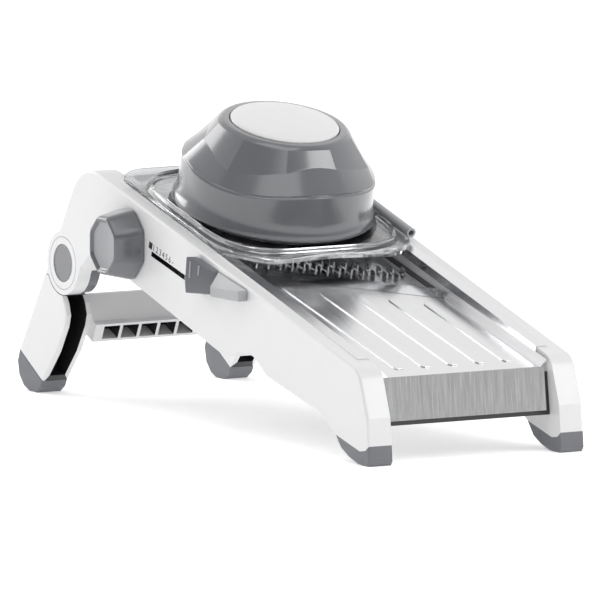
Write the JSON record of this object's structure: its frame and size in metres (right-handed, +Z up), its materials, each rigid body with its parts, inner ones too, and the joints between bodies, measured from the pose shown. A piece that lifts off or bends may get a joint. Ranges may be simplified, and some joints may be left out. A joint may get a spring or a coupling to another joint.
{
  "type": "mandoline slicer",
  "caption": "Free-standing kitchen slicer: sloping steel deck and diagonal blade between two side rails, domed food holder on a sliding carriage, thickness slider, side knob and folding stand.",
  "frame": {"origin": "bottom centre of the whole object's box, on the surface it stands on", "axes": "+Z up, +Y toward the high rear end with the folding stand, +X to the right side (the knob and slider are on the left)"},
  "size_m": [0.1634, 0.4179, 0.1843],
  "materials": {
    "white_plastic": "satin moulded",
    "grey_rubber": "matte, fine moulded grain",
    "grey_plastic": "semi-gloss moulded",
    "dark_grey_plastic": "satin moulded",
    "light_grey_plastic": "satin moulded",
    "black_plastic": "satin moulded",
    "clear_plastic": "polished, clear",
    "smoke_plastic": "polished, smoked",
    "polished_steel": "polished stainless sheet",
    "blade_steel": "ground stainless",
    "plated_steel": "bright plated"
  },
  "bodies": {
    "base": {"left_rail_shell": "white_plastic", "left_rail_cover": "white_plastic", "right_rail_shell": "white_plastic", "right_rail_cover": "white_plastic", "left_front_foot": "grey_rubber", "right_front_foot": "grey_rubber", "hinge_pins": "plated_steel", "hinge_caps": "grey_plastic", "landing_plate": "polished_steel", "front_end_frame": "black_plastic", "left_deck_ledge": "black_plastic", "right_deck_ledge": "black_plastic", "blade_bed": "black_plastic", "slicing_blade": "blade_steel", "blade_screws": "plated_steel", "left_guide_strip": "polished_steel", "right_guide_strip": "polished_steel", "rear_panel": "white_plastic", "tie_rods": "plated_steel"},
    "stand": {"left_stand_leg": "white_plastic", "right_stand_leg": "white_plastic", "stand_crossbar": "white_plastic", "left_rear_foot": "grey_rubber", "right_rear_foot": "grey_rubber", "left_latch_washer": "plated_steel", "right_latch_washer": "plated_steel"},
    "left_button": {"left_release_button": "grey_plastic"},
    "right_button": {"right_release_button": "grey_plastic"},
    "knob": {"adjusting_knob": "grey_plastic", "knob_face": "light_grey_plastic", "knob_shaft": "plated_steel", "snail_cams": "black_plastic"},
    "comb": {"comb_carrier": "black_plastic", "fine_julienne_teeth": "blade_steel", "coarse_julienne_teeth": "blade_steel"},
    "slider": {"left_cam_bar": "black_plastic", "right_cam_bar": "black_plastic", "cam_link_rod": "plated_steel", "slider_neck": "dark_grey_plastic", "thickness_grip": "dark_grey_plastic", "slider_lock_block": "light_grey_plastic"},
    "runway": {"runway_plate": "polished_steel", "runway_frame": "black_plastic", "follower_pins": "plated_steel"},
    "carriage": {"carriage_plate": "clear_plastic", "carriage_rim": "clear_plastic", "carriage_lip": "clear_plastic", "food_cup": "clear_plastic", "right_runner_tube": "light_grey_plastic"},
    "dome": {"dome_shell": "grey_plastic", "dome_cap": "white_plastic", "pusher_guide": "smoke_plastic", "pusher_spring": "plated_steel"},
    "pusher": {"pusher_disc": "smoke_plastic", "pusher_stem": "smoke_plastic", "pusher_spikes": "plated_steel"}
  },
  "joints": [
    {"name": "stand_fold", "type": "hinge", "parent": "base", "child": "stand", "pos_m": [0.00925, 0.1535, 0.081], "axis": [1, 0, 0], "range_deg": [-80, 0]},
    {"name": "left_release", "type": "slide", "parent": "stand", "child": "left_button", "axis": [-1, 0, 0], "range_m": [0, 0.0016], "stiffness_N_per_m": 400},
    {"name": "right_release", "type": "slide", "parent": "stand", "child": "right_button", "axis": [1, 0, 0], "range_m": [0, 0.0016], "stiffness_N_per_m": 400},
    {"name": "knob_turn", "type": "hinge", "parent": "base", "child": "knob", "pos_m": [0.00925, 0.0738, 0.101], "axis": [-1, 0, 0], "range_deg": [0, 90]},
    {"name": "comb_drop", "type": "slide", "parent": "base", "child": "comb", "axis": [0, 0.2447, -0.9696], "range_m": [0, 0.0061]},
    {"name": "thickness_slide", "type": "slide", "parent": "base", "child": "slider", "axis": [0, 0.9696, 0.2447], "range_m": [0, 0.04]},
    {"name": "runway_drop", "type": "slide", "parent": "base", "child": "runway", "axis": [0, 0.2447, -0.9696], "range_m": [0, 0.0081]},
    {"name": "carriage_slide", "type": "slide", "parent": "base", "child": "carriage", "axis": [0, -0.9649, -0.2625], "range_m": [0, 0.13]},
    {"name": "dome_lift", "type": "slide", "parent": "carriage", "child": "dome", "axis": [0, -0.2625, 0.9649], "range_m": [0, 0.035]},
    {"name": "pusher_retract", "type": "slide", "parent": "dome", "child": "pusher", "axis": [0, -0.2625, 0.9649], "range_m": [0, 0.011], "stiffness_N_per_m": 60, "springref_m": -0.01, "deforming": ["pusher_spring"]}
  ],
  "couplings": [
    {"joint": "comb_drop", "follows": "knob_turn", "m_per_rad": 0.0038197},
    {"joint": "runway_drop", "follows": "thickness_slide", "ratio": 0.2}
  ]
}
